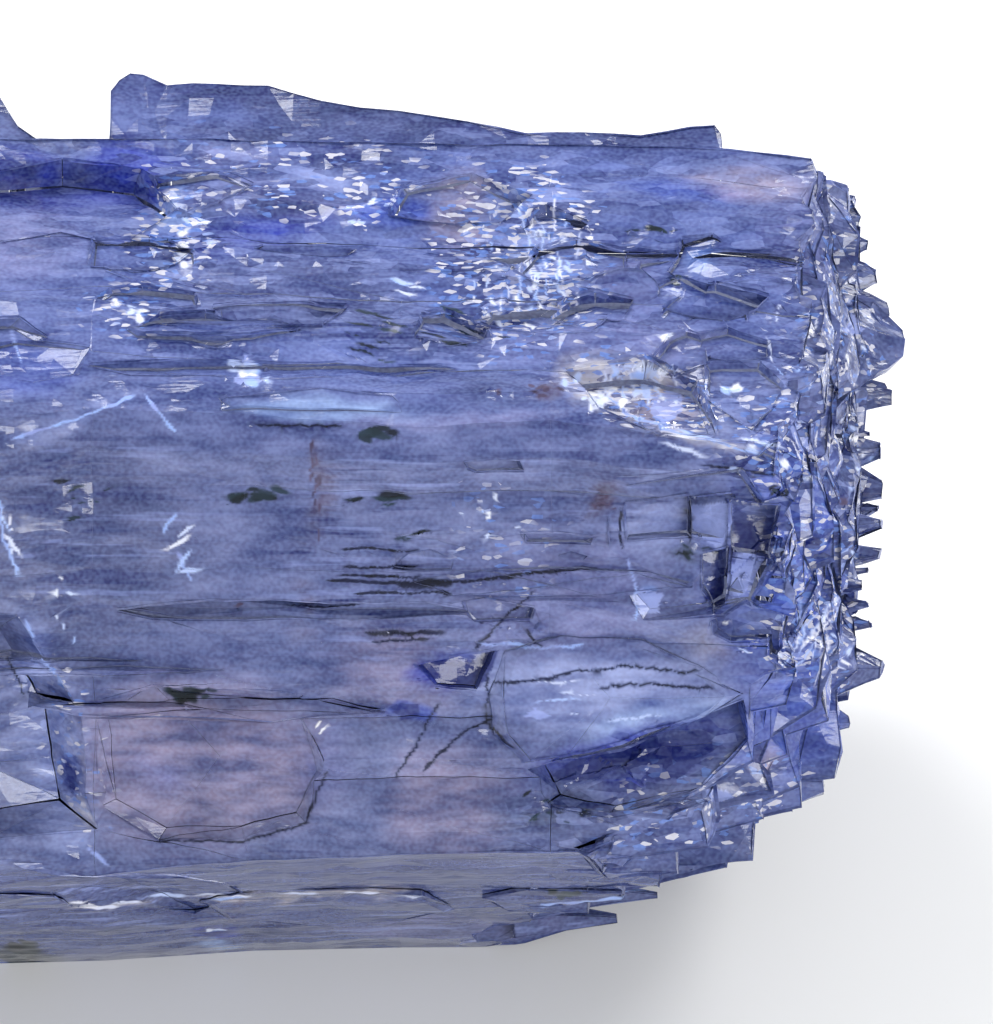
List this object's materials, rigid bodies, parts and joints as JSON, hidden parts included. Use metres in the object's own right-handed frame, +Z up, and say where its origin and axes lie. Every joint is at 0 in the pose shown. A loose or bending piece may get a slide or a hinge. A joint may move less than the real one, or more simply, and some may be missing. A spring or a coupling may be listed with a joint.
{
  "type": "jeremejevite crystal",
  "caption": "Violet-blue six-sided gem crystal lying on a prism face, with striated sides, a broken root and a ragged stepped growth end.",
  "frame": {"origin": "centre of the bounding box, on the prism face that the crystal lies on", "axes": "+X along the prism to its ragged growth end, +Y to the far side from the viewer of the picture, +Z up"},
  "size_m": [0.0136, 0.0088, 0.0079],
  "materials": {
    "crystal": "translucent violet-blue crystal with a vitreous lustre, fine striae, healed fractures and dark flecks"
  },
  "bodies": {
    "root": {"crystal": "crystal"}
  },
  "joints": []
}
